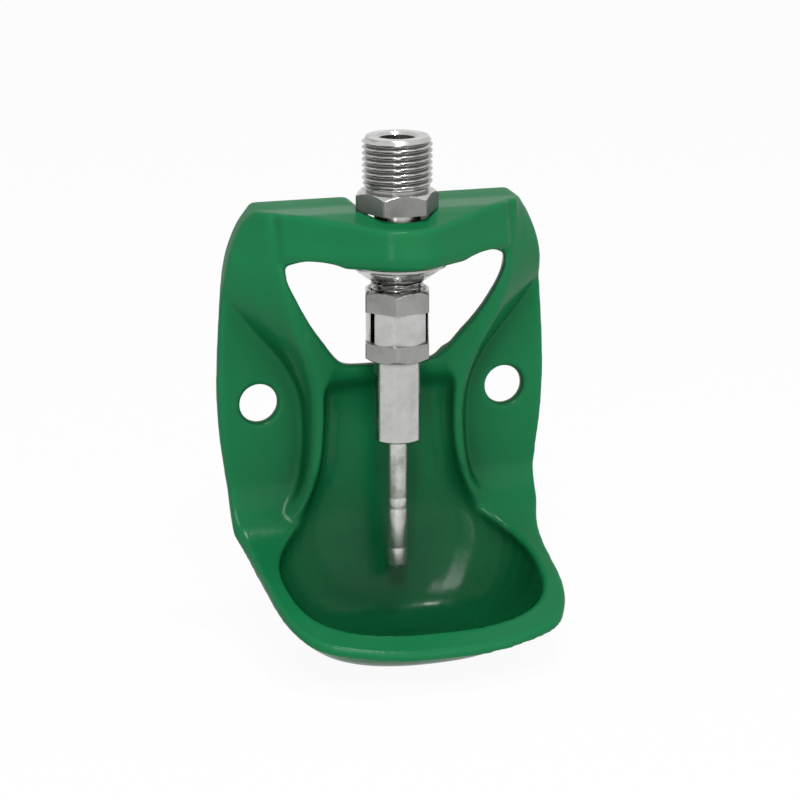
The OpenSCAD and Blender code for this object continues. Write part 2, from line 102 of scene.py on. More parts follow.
def add_node(tree: bpy.types.NodeTree, kind: str, **values: object) -> bpy.types.Node:
    """Add a node and set its properties and inputs.

    Args:
        tree: Tree that takes the node.
        kind: Blender's identifier of the node.
        values: Properties by name, or inputs as in_Scale, in_From_Min and so on.

    Returns:
        The node.
    """
    node = tree.nodes.new(kind)
    for label, value in values.items():
        if label.startswith("in_"):
            node.inputs[label[3:].replace("_", " ")].default_value = value
        else:
            setattr(node, label, value)
    return node


def feed(tree: bpy.types.NodeTree, source: Source, target: bpy.types.NodeSocket) -> None:
    """Give an input its source: a link from a socket, or a constant set on the input itself.

    Args:
        tree: Tree that holds the input's node.
        source: Socket, number or linear colour.
        target: The input.
    """
    if isinstance(source, bpy.types.NodeSocket):
        tree.links.new(source, target)
    else:
        target.default_value = (*source, 1.0) if isinstance(source, tuple) else source


def calculate(tree: bpy.types.NodeTree, operation: str, a: Source, b: Source) -> bpy.types.NodeSocket:
    """Join two values by an operation of the Math node and return the result's socket."""
    node = add_node(tree, "ShaderNodeMath", operation=operation)
    feed(tree, a, node.inputs[0])
    feed(tree, b, node.inputs[1])
    return node.outputs[0]


def remap(
    tree: bpy.types.NodeTree, source: Source, low: float, high: float, start: float = 0.0, end: float = 1.0
) -> bpy.types.NodeSocket:
    """Stretch one span of a value over another and clamp it.

    Args:
        tree: Tree that takes the node.
        source: The value.
        low: Value that becomes start.
        high: Value that becomes end.
        start: First end of the new span.
        end: Second end of the new span.

    Returns:
        The result's socket.
    """
    node = add_node(
        tree, "ShaderNodeMapRange", in_From_Min=low, in_From_Max=high, in_To_Min=start, in_To_Max=end
    )
    feed(tree, source, node.inputs["Value"])
    return node.outputs["Result"]


def blend_value(tree: bpy.types.NodeTree, mask: Source, low: float, high: float) -> bpy.types.NodeSocket:
    """Map a 0 to 1 mask on to the span from low to high and return the socket."""
    return remap(tree, mask, 0.0, 1.0, low, high)


def blend_color(tree: bpy.types.NodeTree, mask: Source, low: Source, high: Source) -> bpy.types.NodeSocket:
    """Mix two colours by a mask.

    Args:
        tree: Tree of the material.
        mask: 0 for low and 1 for high.
        low: Colour where the mask is 0.
        high: Colour where the mask is 1.

    Returns:
        The mixed colour's socket.
    """
    mix = add_node(tree, "ShaderNodeMix", data_type="RGBA")
    feed(tree, mask, mix.inputs[MIX_MASK])
    feed(tree, low, mix.inputs[MIX_LOW])
    feed(tree, high, mix.inputs[MIX_HIGH])
    return mix.outputs[MIX_RESULT]


def texture(
    tree: bpy.types.NodeTree, kind: str, vector: bpy.types.NodeSocket, scale: Source, **values: object
) -> bpy.types.Node:
    """Add a texture node.

    Args:
        tree: Tree that takes the node.
        kind: Blender's identifier of the node.
        vector: Socket that it reads its place from.
        scale: Its frequency.
        values: Further properties and inputs, as for add_node.

    Returns:
        The node.
    """
    node = add_node(tree, kind, **values)
    tree.links.new(vector, node.inputs["Vector"])
    feed(tree, scale, node.inputs["Scale"])
    return node


def bump(tree: bpy.types.NodeTree, height: bpy.types.NodeSocket, shader: bpy.types.Node, depth: float) -> None:
    """Feed a height to the shader's normal.

    Args:
        tree: Tree of the material.
        height: Socket that gives the height, 0 to 1.
        shader: Principled node.
        depth: Height of a full step, in metres.
    """
    node = add_node(tree, "ShaderNodeBump", in_Strength=1.0, in_Distance=depth)
    tree.links.new(height, node.inputs["Height"])
    tree.links.new(node.outputs["Normal"], shader.inputs["Normal"])


# ---- shader groups


def new_group(name: str, inputs: dict[str, float], outputs: Sequence[str]) -> bpy.types.NodeTree:
    """Make an empty shader group with float inputs and outputs.

    Args:
        name: Name of the group.
        inputs: Names and defaults of its inputs.
        outputs: Names of its outputs.

    Returns:
        The new node tree, with its two end nodes named "in" and "out".
    """
    tree = bpy.data.node_groups.new(name, "ShaderNodeTree")
    for label, default in inputs.items():
        socket = tree.interface.new_socket(name=label, in_out="INPUT", socket_type="NodeSocketFloat")
        socket.default_value = default
    for label in outputs:
        tree.interface.new_socket(name=label, in_out="OUTPUT", socket_type="NodeSocketFloat")
    tree.nodes.new("NodeGroupInput").name = "in"
    tree.nodes.new("NodeGroupOutput").name = "out"
    return tree


def glaze_group() -> bpy.types.NodeTree:
    """Build the group for fired enamel: slow colour drift, fine orange peel and pits.

    Returns:
        A tree with outputs Drift, Height, Dull, Edge, which is 0 in a crease and 1 on an edge, and Open, a
        painted-shade mask from ambient occlusion that is 0 deep in a hollow of the piece itself.
    """
    tree = new_group(
        "fired_glaze",
        {"Drift Scale": 28.0, "Peel Scale": 420.0, "Peel": 0.5, "Pits": 0.3},
        ("Drift", "Height", "Dull", "Edge", "Open"),
    )
    knobs = tree.nodes["in"].outputs
    place = add_node(tree, "ShaderNodeTexCoord").outputs["Object"]
    noise, cells = "ShaderNodeTexNoise", "ShaderNodeTexVoronoi"
    drift = texture(tree, noise, place, knobs["Drift Scale"], in_Detail=3.0, in_Roughness=0.55)
    peel = texture(tree, noise, place, knobs["Peel Scale"], in_Detail=2.0, in_Roughness=0.5)
    smear = texture(tree, noise, place, 70.0, in_Detail=5.0, in_Roughness=0.65)
    pits = remap(tree, texture(tree, cells, place, 160.0).outputs["Distance"], 0.0, 0.11)
    # Ambient occlusion of the piece itself: the Open output paints shade into the enamel's colour deep in its
    # hollows.
    shelter = add_node(tree, "ShaderNodeAmbientOcclusion", samples=8, only_local=True, in_Distance=0.06)
    relief = add_node(tree, "ShaderNodeNewGeometry")
    peel_height = calculate(tree, "MULTIPLY", peel.outputs["Fac"], knobs["Peel"])
    pit_height = calculate(tree, "MULTIPLY", pits, knobs["Pits"])
    out = tree.nodes["out"].inputs
    feed(tree, remap(tree, drift.outputs["Fac"], 0.3, 0.7), out["Drift"])
    feed(tree, calculate(tree, "ADD", peel_height, pit_height), out["Height"])
    feed(tree, remap(tree, smear.outputs["Fac"], 0.5, 0.8), out["Dull"])
    feed(tree, remap(tree, relief.outputs["Pointiness"], 0.44, 0.56), out["Edge"])
    feed(tree, remap(tree, shelter.outputs["AO"], 0.55, 0.98), out["Open"])
    return tree


def turning_group() -> bpy.types.NodeTree:
    """Build the group for turned steel: fine rings round Z, stains and painted shade in a thread's root and in
    other close gaps.

    Returns:
        A tree with outputs Stain, Height and Crest, a painted-shade mask from ambient occlusion that is 0 in a
        thread's root.
    """
    tree = new_group(
        "turned_steel",
        {"Ring Pitch": 2600.0, "Ring Depth": 0.5, "Stain Scale": 140.0},
        ("Stain", "Height", "Crest"),
    )
    knobs = tree.nodes["in"].outputs
    place = add_node(tree, "ShaderNodeTexCoord").outputs["Object"]
    split = add_node(tree, "ShaderNodeSeparateXYZ")
    along = add_node(tree, "ShaderNodeCombineXYZ")
    tree.links.new(place, split.inputs[0])
    tree.links.new(split.outputs["Z"], along.inputs["Z"])
    noise = "ShaderNodeTexNoise"
    rings = texture(tree, noise, along.outputs[0], knobs["Ring Pitch"], in_Detail=3.0, in_Roughness=0.6)
    stain = texture(tree, noise, place, knobs["Stain Scale"], in_Detail=6.0, in_Roughness=0.65)
    # Ambient occlusion over a short distance: the Crest output paints shade into the metal's colour in thread
    # roots and close gaps.
    shelter = add_node(tree, "ShaderNodeAmbientOcclusion", samples=8, in_Distance=0.0022)
    out = tree.nodes["out"].inputs
    feed(tree, remap(tree, stain.outputs["Fac"], 0.42, 0.72), out["Stain"])
    feed(tree, calculate(tree, "MULTIPLY", rings.outputs["Fac"], knobs["Ring Depth"]), out["Height"])
    feed(tree, remap(tree, shelter.outputs["AO"], 0.5, 0.9), out["Crest"])
    return tree


# ---- finishes


def base_material(
    name: str, color: Rgb, metallic: float, roughness: float
) -> tuple[bpy.types.Material, bpy.types.Node]:
    """Make a material around one Principled BSDF.

    Args:
        name: Name of the material.
        color: Linear base colour.
        metallic: 0 for a dielectric, 1 for bare metal.
        roughness: Roughness of the surface.

    Returns:
        The material and its Principled node.
    """
    material = bpy.data.materials.new(name)
    material.use_nodes = True
    material.diffuse_color = (*color, 1.0)
    shader = material.node_tree.nodes["Principled BSDF"]
    shader.inputs["Base Color"].default_value = (*color, 1.0)
    shader.inputs["Metallic"].default_value = metallic
    shader.inputs["Roughness"].default_value = roughness
    return material, shader


@dataclass(frozen=True)
class EnamelFinish:
    """Green enamel fired on a casting.

    Attributes:
        hollow_shade: Painted shade colour deep in the bowl and in other hollows of the piece, where ambient
            occlusion is strong.
        deep: Colour where the coat has run together in a crease.
        plain: Colour of an even coat.
        light: Colour where the coat has drawn thin on an edge.
        relief: Share of the creases and edges in the colour, beside the slow drift.
        gloss: Roughness of clean enamel.
        dull: Roughness added where the enamel is dull.
        shine: Specular level, which keeps the enamel's colour deep.
        glance: Specular level at a glancing angle.
        peel: Depth of the orange peel, in metres.
        peel_share: Share of the orange peel in the height, beside the pits.
    """

    hollow_shade: Rgb = (0.0015, 0.042, 0.013)
    deep: Rgb = (0.003, 0.100, 0.032)
    plain: Rgb = (0.005, 0.138, 0.044)
    light: Rgb = (0.010, 0.172, 0.062)
    relief: float = 0.45
    gloss: float = 0.19
    dull: float = 0.12
    shine: float = 0.1
    glance: float = 0.03
    peel: float = 0.00008
    peel_share: float = 0.4

    def build(self, glaze: bpy.types.NodeTree) -> bpy.types.Material:
        """Make the enamel material.

        Args:
            glaze: The fired glaze group.

        Returns:
            The material.
        """
        material, shader = base_material("enamel_green", self.plain, 0.0, self.gloss)
        tree = material.node_tree
        coat = add_node(tree, "ShaderNodeGroup", node_tree=glaze)
        coat.inputs["Peel"].default_value = self.peel_share
        thick = blend_color(tree, coat.outputs["Edge"], self.deep, self.light)
        drift = blend_color(tree, coat.outputs["Drift"], self.plain, self.light)
        even = blend_color(tree, self.relief, drift, thick)
        # Painted shade: ambient occlusion darkens the enamel towards a deep green in the bowl, the channel and
        # other hollows.
        color = blend_color(tree, coat.outputs["Open"], self.hollow_shade, even)
        roughness = blend_value(tree, coat.outputs["Dull"], self.gloss, self.gloss + self.dull)
        angle = add_node(tree, "ShaderNodeLayerWeight", in_Blend=0.5)
        facing = remap(tree, angle.outputs["Facing"], 0.3, 0.75)
        feed(tree, color, shader.inputs["Base Color"])
        feed(tree, roughness, shader.inputs["Roughness"])
        feed(tree, blend_value(tree, facing, self.shine, self.glance), shader.inputs["Specular IOR Level"])
        bump(tree, coat.outputs["Height"], shader, self.peel)
        return material


@dataclass(frozen=True)
class SteelFinish:
    """Bare turned steel.

    Attributes:
        name: Name of the material.
        clean: Colour of clean metal.
        stained: Colour of stained metal.
        gloss: Roughness of clean metal.
        rough: Roughness added on stains.
        ring_depth: Depth of the turning rings, in metres.
        stain_scale: Frequency of the stains.
        root: Share of the stained colour that is kept as painted shade in a thread's root and in other close
            gaps.
    """

    name: str
    clean: Rgb
    stained: Rgb
    gloss: float = 0.3
    rough: float = 0.14
    ring_depth: float = 0.000003
    stain_scale: float = 140.0
    root: float = 0.5

    def build(self, turning: bpy.types.NodeTree) -> bpy.types.Material:
        """Make the steel material.

        Args:
            turning: The turned steel group.

        Returns:
            The material.
        """
        material, shader = base_material(self.name, self.clean, 1.0, self.gloss)
        tree = material.node_tree
        marks = add_node(tree, "ShaderNodeGroup", node_tree=turning)
        marks.inputs["Stain Scale"].default_value = self.stain_scale
        # Painted shade: ambient occlusion darkens the metal towards a dimmed stained colour in thread roots and
        # close gaps.
        red, green, blue = (channel * self.root for channel in self.stained)
        metal = blend_color(tree, marks.outputs["Stain"], self.clean, self.stained)
        color = blend_color(tree, marks.outputs["Crest"], (red, green, blue), metal)
        roughness = blend_value(tree, marks.outputs["Stain"], self.gloss, self.gloss + self.rough)
        feed(tree, color, shader.inputs["Base Color"])
        feed(tree, roughness, shader.inputs["Roughness"])
        bump(tree, marks.outputs["Height"], shader, self.ring_depth)
        return material


@dataclass(frozen=True)
class RubberFinish:
    """Moulded black rubber.

    Attributes:
        color: Linear base colour.
        gloss: Roughness of the smoothest skin.
        dull: Roughness of the dullest skin.
        skin: Depth of the skin's unevenness, in metres.
    """

    color: Rgb = (0.021, 0.021, 0.02)
    gloss: float = 0.62
    dull: float = 0.75
    skin: float = 0.00002

    def build(self, glaze: bpy.types.NodeTree) -> bpy.types.Material:
        """Make the rubber material from the same fine unevenness as the glaze."""
        material, shader = base_material("rubber_black", self.color, 0.0, self.gloss)
        tree = material.node_tree
        coat = add_node(tree, "ShaderNodeGroup", node_tree=glaze)
        bump(tree, coat.outputs["Height"], shader, self.skin)
        feed(tree, blend_value(tree, coat.outputs["Dull"], self.gloss, self.dull), shader.inputs["Roughness"])
        return material


TURNED = SteelFinish("steel_stainless", (0.52, 0.525, 0.515), (0.41, 0.41, 0.395), gloss=0.18)
DRAWN = SteelFinish(
    "steel_drawn", (0.60, 0.60, 0.585), (0.31, 0.305, 0.29), gloss=0.3, rough=0.2, stain_scale=220.0
)
SPRUNG = SteelFinish("steel_spring", (0.45, 0.44, 0.42), (0.35, 0.34, 0.32))
INLET_BAR = SteelFinish(
    "steel_bar_dark", (0.21, 0.21, 0.205), (0.15, 0.15, 0.145), gloss=0.36, ring_depth=0.0
)
GUIDE_BAR = SteelFinish("steel_bar", (0.31, 0.31, 0.30), (0.24, 0.24, 0.23), gloss=0.34, ring_depth=0.0)


# ---- meshes


def link_object(name: str, mesh: bpy.types.Mesh) -> bpy.types.Object:
    """Make an object from a mesh and put it in the scene."""
    obj = bpy.data.objects.new(name, mesh)
    bpy.context.scene.collection.objects.link(obj)
    return obj


def mesh_object(
    name: str, points: np.ndarray, faces: list[tuple[int, ...]], smooth: bool = True
) -> bpy.types.Object:
    """Make an object from points and faces.

    Args:
        name: Name of the object.
        points: Corner positions in metres.
        faces: Corner indices of each face.
        smooth: Whether the faces are shaded smooth.

    Returns:
        The linked object.
    """
    mesh = bpy.data.meshes.new(name)
    mesh.from_pydata([tuple(p) for p in points], [], faces)
    mesh.validate()
    if smooth:
        mesh.shade_smooth()
    return link_object(name, mesh)


def split_sharp(obj: bpy.types.Object, angle: float) -> None:
    """Mark the edges sharper than an angle, so that they stay crisp.

    Args:
        obj: Object whose mesh is shaded smooth.
        angle: Smallest angle of a sharp edge, in degrees.
    """
    obj.data.set_sharp_from_angle(angle=math.radians(angle))


def polar_solid(
    name: str,
    levels: Sequence[float],
    outer: Callable[[np.ndarray, float], np.ndarray],
    bore: Profile,
    steps: int,
) -> bpy.types.Object:
    """Make a closed piece on the valve's axis, whose outside is a radius by angle and height.

    Args:
        name: Name of the object.
        levels: Heights of the outside's rings, from the bottom up, in millimetres.
        outer: Gives the outer radius for an array of angles at a height.
        bore: Radii and heights of the bore, from the bottom up, in millimetres.
        steps: Number of points round the axis.

    Returns:
        The object.
    """
    angles = np.arange(steps) * 2 * np.pi / steps
    rings = []
    for r, z in [*((outer(angles, z), z) for z in levels), *reversed(bore)]:
        rings.append(np.stack([r * np.cos(angles), r * np.sin(angles), np.full(steps, z)], axis=1))
    points = np.concatenate(rings) * MM
    points[:, 1] += AXIS_Y
    faces = []
    for j in range(len(rings)):
        a, b = j * steps, (j + 1) % len(rings) * steps
        for i in range(steps):
            k = (i + 1) % steps
            faces.append((a + i, a + k, b + k, b + i))
    return mesh_object(name, points, faces)


def turned_piece(name: str, outline: Profile, steps: int = 96) -> bpy.types.Object:
    """Make a solid of revolution from a closed outline that may touch the axis.

    Args:
        name: Name of the object.
        outline: [radius, height] round the section, counterclockwise, in millimetres.
        steps: Number of points round the axis.

    Returns:
        The object.
    """
    mesh = bmesh.new()
    angles = [2 * math.pi * i / steps for i in range(steps)]
    columns = []
    for r, z in outline:
        if r < 1e-6:
            columns.append([mesh.verts.new((0.0, AXIS_Y, z * MM))] * steps)
        else:
            ring = [(r * math.cos(a) * MM, AXIS_Y + r * math.sin(a) * MM, z * MM) for a in angles]
            columns.append([mesh.verts.new(point) for point in ring])
    for j in range(len(outline)):
        low, high = columns[j], columns[(j + 1) % len(outline)]
        for i in range(steps):
            k = (i + 1) % steps
            corners = list(dict.fromkeys((low[i], low[k], high[k], high[i])))
            if len(corners) > 2:
                mesh.faces.new(corners)
    bmesh.ops.recalc_face_normals(mesh, faces=mesh.faces)
    data = bpy.data.meshes.new(name)
    mesh.to_mesh(data)
    mesh.free()
    data.shade_smooth()
    return link_object(name, data)


def apply_modifiers(obj: bpy.types.Object) -> None:
    """Bake an object's modifiers into its mesh."""
    evaluated = obj.evaluated_get(bpy.context.evaluated_depsgraph_get())
    mesh = bpy.data.meshes.new_from_object(evaluated)
    obj.modifiers.clear()
    obj.data = mesh


def cut(obj: bpy.types.Object, cutter: bpy.types.Object) -> None:
    """Take one object's volume out of another and drop the cutter."""
    modifier = obj.modifiers.new("cut", "BOOLEAN")
    modifier.operation = "DIFFERENCE"
    modifier.solver = "EXACT"
    modifier.object = cutter
    apply_modifiers(obj)
    bpy.data.objects.remove(cutter)


def fade(distance: float, length: float) -> float:
    """Rise from 0 to 1 over a length and stay there."""
    return min(max(distance / length, 0.0), 1.0)


def soft_min(a: np.ndarray, b: float, blend: float) -> np.ndarray:
    """Return the smaller of two radii with a small blend where they meet."""
    h = np.clip(0.5 + 0.5 * (b - a) / blend, 0.0, 1.0)
    return b * (1 - h) + a * h - blend * h * (1 - h)


def hexagon(angles: np.ndarray, across: float, turn: float, rounding: float = 0.12) -> np.ndarray:
    """Radius of a hexagon with slightly rounded corners.

    Args:
        angles: Angles round the axis.
        across: Width across the flats.
        turn: Angle of one corner, in degrees.
        rounding: How much the corners are broken.

    Returns:
        The radius at each angle.
    """
    local = np.mod(angles - math.radians(turn), math.pi / 3) - math.pi / 6
    flat = across / 2 / np.cos(local)
    return soft_min(flat, across / math.sqrt(3) - rounding, rounding)


def thread_depth(angles: np.ndarray, z: float, pitch: float, crest: float = 0.12) -> np.ndarray:
    """Depth of a V-shaped thread, 0 at the crest and 1 at the root.

    Args:
        angles: Angles round the axis.
        z: Height.
        pitch: Pitch of the thread, in the unit of z.
        crest: Part of the pitch that is flat at the crest and at the root.

    Returns:
        The depth at each angle.
    """
    u = np.mod(z / pitch - angles / (2 * np.pi), 1.0)
    wave = np.abs(2 * u - 1)
    return np.clip((wave - crest) / (1 - 2 * crest), 0.0, 1.0)


def lathe_radius(profile: Profile, z: float) -> float:
    """Outer radius of a turned profile at a height, by linear interpolation."""
    radii, heights = zip(*profile)
    return float(np.interp(z, heights, radii))


def dress(obj: bpy.types.Object, material: bpy.types.Material, body: Body, node: str) -> None:
    """Args:
        obj: The piece.
        material: Its material.
        body: The rigid body that it rides on.
        node: CAD node that it stands for.
    """
    obj.data.materials.clear()
    obj.data.materials.append(material)
    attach(obj, body.value)
    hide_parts(node)
    log.info("%s: %d faces on %s", obj.name, len(obj.data.polygons), body.value)


def dress_flats(obj: bpy.types.Object, material: bpy.types.Material, spans: Profile) -> None:
    """Give the upright faces of a dressed piece a second material between some heights.

    Args:
        obj: The piece.
        material: The second material.
        spans: Lower and upper height of each span, in millimetres.
    """
    upright = 0.3
    obj.data.materials.append(material)
    index = len(obj.data.materials) - 1
    for face in obj.data.polygons:
        height = face.center.z / MM
        if abs(face.normal.z) < upright and any(low < height < high for low, high in spans):
            face.material_index = index


# ---- pieces


@dataclass
class Casting:
    """The cast and enamelled bowl with its wings and bridge.

    Attributes:
        voxel: Size of the remesh voxels, in metres.
        passes: Number of smoothing passes, which melt the edges as a thick enamel coat does.
        pull: Strength of the shrinking half of each pass.
        push: Strength of the swelling half of each pass.
        triangles: Number of triangles that are kept.
    """

    voxel: float = 0.00045
    passes: int = 220
    pull: float = 0.5
    push: float = -0.47
    triangles: int = 185000

    def smooth(self, mesh: bpy.types.Mesh) -> None:
        """Round the mesh by passes that pull and then push each point, so that it hardly shrinks."""
        count = len(mesh.vertices)
        points = np.empty(count * 3)
        mesh.vertices.foreach_get("co", points)
        points = points.reshape(-1, 3)
        edges = np.empty(len(mesh.edges) * 2, dtype=np.int64)
        mesh.edges.foreach_get("vertices", edges)
        a, b = edges.reshape(-1, 2).T
        degree = np.bincount(a, minlength=count) + np.bincount(b, minlength=count)
        for step in range(self.passes * 2):
            total = np.zeros_like(points)
            for axis in range(3):
                total[:, axis] = np.bincount(a, points[b, axis], count) + np.bincount(b, points[a, axis], count)
            mean = total / degree[:, None]
            points += (mean - points) * (self.pull if step % 2 == 0 else self.push)
        mesh.vertices.foreach_set("co", points.ravel())
        mesh.update()

    def build(self, material: bpy.types.Material) -> None:
        """Copy the CAD casting, melt the copy's edges and dress it in enamel."""
        obj = link_object("enamelled_casting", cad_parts["bowl_casting"].data.copy())
        remesh = obj.modifiers.new("remesh", "REMESH")
        remesh.mode = "VOXEL"
        remesh.voxel_size = self.voxel
        remesh.adaptivity = 0.0
        apply_modifiers(obj)
        self.smooth(obj.data)
        thin = obj.modifiers.new("thin", "DECIMATE")
        thin.ratio = min(1.0, self.triangles / (2 * len(obj.data.polygons)))
        apply_modifiers(obj)
        obj.data.shade_smooth()
        dress(obj, material, Body.HOUSING, "bowl_casting")


@dataclass
class InletFitting:
    """The inlet with its pipe thread, hexagon, neck, threaded stem and bore.

    Attributes:
        steps: Number of points round the axis.
        stem_low, stem_high: Ends of the threaded stem.
        stem_r, stem_pitch, stem_depth: Radius, pitch and depth of its thread.
        stem_start: Length and depth of the cone that starts its thread.
        neck: Radii at the neck's foot and along it.
        hex_low, hex_high: Lower and upper face of the hexagon.
        hex_across, hex_turn: Its width across flats and the angle of one corner, in degrees.
        hex_cone: Radius, height and slope of the cone that breaks its upper corners.
        hex_foot: Radius, height and slope of the cone that breaks its lower corners.
        relief_r, relief_high: Radius and height of the groove above the hexagon.
        pipe_r, pipe_pitch, pipe_depth: Radius, pitch and depth of the pipe thread.
        pipe_start, pipe_end: Length and depth of the cones at the pipe thread's ends.
        top: Upper face of the inlet.
        bore: Radii and heights of the bore.
    """

    steps: int = 180
    stem_low: float = 33.6
    stem_high: float = 55.3
    stem_r: float = 8.0
    stem_pitch: float = 1.5
    stem_depth: float = 0.8
    stem_start: tuple[float, float] = (1.0, 0.9)
    neck: tuple[float, float] = (7.6, 7.0)
    hex_low: float = 60.9
    hex_high: float = 66.8
    hex_across: float = 22.0
    hex_turn: float = 56.2
    hex_cone: tuple[float, float, float] = (13.1, 1.5, 1.35)
    hex_foot: tuple[float, float, float] = (12.9, 0.35, 1.2)
    relief_r: float = 9.25
    relief_high: float = 1.1
    pipe_r: float = 10.4775
    pipe_pitch: float = 1.814
    pipe_depth: float = 1.05
    pipe_start: tuple[float, float] = (1.4, 1.2)
    pipe_end: tuple[float, float] = (1.5, 1.25)
    top: float = 83.2
    bore: Profile = (
        (6.0, 33.6),
        (6.0, 50.1),
        (4.7, 50.1),
        (4.7, 72.2),
        (5.6, 72.2),
        (5.6, 82.3),
        (6.3, 83.0),
        (6.5, 83.2),
    )

    def outside(self, angles: np.ndarray, z: float) -> np.ndarray:
        """Give the outer radius at a height."""
        if z < self.stem_high:
            length, cone = self.stem_start
            depth = thread_depth(angles, z, self.stem_pitch) * self.stem_depth
            return np.minimum(self.stem_r - depth, self.stem_r - cone * (1 - fade(z - self.stem_low, length)))
        if z <= self.hex_low:
            foot, neck = self.neck
            profile = ((foot, self.stem_high), (neck, self.stem_high + 1.0), (neck, self.hex_low))
            return np.full_like(angles, lathe_radius(profile, z))
        if z < self.hex_high:
            return self.hexagon_radius(angles, z)
        if z < self.hex_high + self.relief_high:
            return np.full_like(angles, self.relief_r)
        start_length, start_depth = self.pipe_start
        end_length, end_depth = self.pipe_end
        start = fade(z - self.hex_high - self.relief_high, start_length)
        end = fade(self.top - z, end_length)
        depth = thread_depth(angles, z, self.pipe_pitch) * self.pipe_depth
        limit = self.pipe_r - (1 - start) * start_depth - (1 - end) * end_depth
        return np.minimum(self.pipe_r - depth, limit)

    def hexagon_radius(self, angles: np.ndarray, z: float) -> np.ndarray:
        """Give the radius of the hexagon with its corners broken above and below."""
        cone_r, cone_high, cone_slope = self.hex_cone
        foot_r, foot_high, foot_slope = self.hex_foot
        cone = cone_r - max(0.0, z - (self.hex_high - cone_high)) * cone_slope
        foot = foot_r - max(0.0, self.hex_low + foot_high - z) * foot_slope
        return np.minimum(np.minimum(hexagon(angles, self.hex_across, self.hex_turn), cone), foot)

    def levels(self) -> list[float]:
        """List the heights of the rings, dense along the threads and the broken corners."""
        pipe_low = self.hex_high + self.relief_high
        return [
            *np.arange(self.stem_low, self.stem_high - 0.01, self.stem_pitch / 8),
            *(self.stem_high + rise for rise in (0.0, 0.5, 1.0)),
            self.hex_low,
            *(self.hex_low + rise for rise in (STEP, 0.18, 0.36, 1.0)),
            *np.linspace(self.hex_high - 1.9, self.hex_high - STEP, 14),
            self.hex_high,
            pipe_low - 0.01,
            *np.arange(pipe_low, self.top, self.pipe_pitch / 12),
            self.top,
        ]

    def build(self, material: bpy.types.Material, stock: bpy.types.Material) -> None:
        """Make the fitting of turned steel, with the hexagon's flats as the bar came."""
        obj = polar_solid("inlet_with_threads", self.levels(), self.outside, self.bore, self.steps)
        split_sharp(obj, 38)
        dress(obj, material, Body.HOUSING, "inlet_fitting")
        dress_flats(obj, stock, [(self.hex_low, self.hex_high)])


@dataclass
class ClampNut:
    """The nut under the bridge, a flange whose cone is cut by six flats.

    Attributes:
        steps: Number of points round the axis.
        across, turn: Width across the flats and the angle of one corner, in degrees.
        flange_low: Height where the flats end and the flange begins.
        profile: Radii and heights of the turned outside.
        bore: Radii and heights of the bore.
    """

    steps: int = 144
    across: float = 25.5
    turn: float = 34.4
    flange_low: float = 43.9
    profile: Profile = (
        (9.1, 40.4),
        (10.1, 41.0),
        (13.1, 43.3),
        (15.1, 44.6),
        (15.2, 44.8),
        (15.2, 45.3),
        (15.0, 45.5),
    )
    bore: Profile = ((8.5, 40.4), (8.06, 40.9), (8.06, 45.5))

    def outside(self, angles: np.ndarray, z: float) -> np.ndarray:
        """Give the outer radius at a height."""
        turned = np.full_like(angles, lathe_radius(self.profile, z))
        return turned if z > self.flange_low else np.minimum(hexagon(angles, self.across, self.turn), turned)

    def build(self, material: bpy.types.Material) -> None:
        """Make and dress the nut."""
        flats = np.linspace(self.profile[0][1], self.flange_low - 0.01, 16)
        flange = [z for _, z in self.profile if z > self.flange_low]
        levels = [*flats, self.flange_low + 0.01, *flange]
        obj = polar_solid("clamping_nut", levels, self.outside, self.bore, self.steps)
        split_sharp(obj, 30)
        dress(obj, material, Body.HOUSING, "clamp_nut")


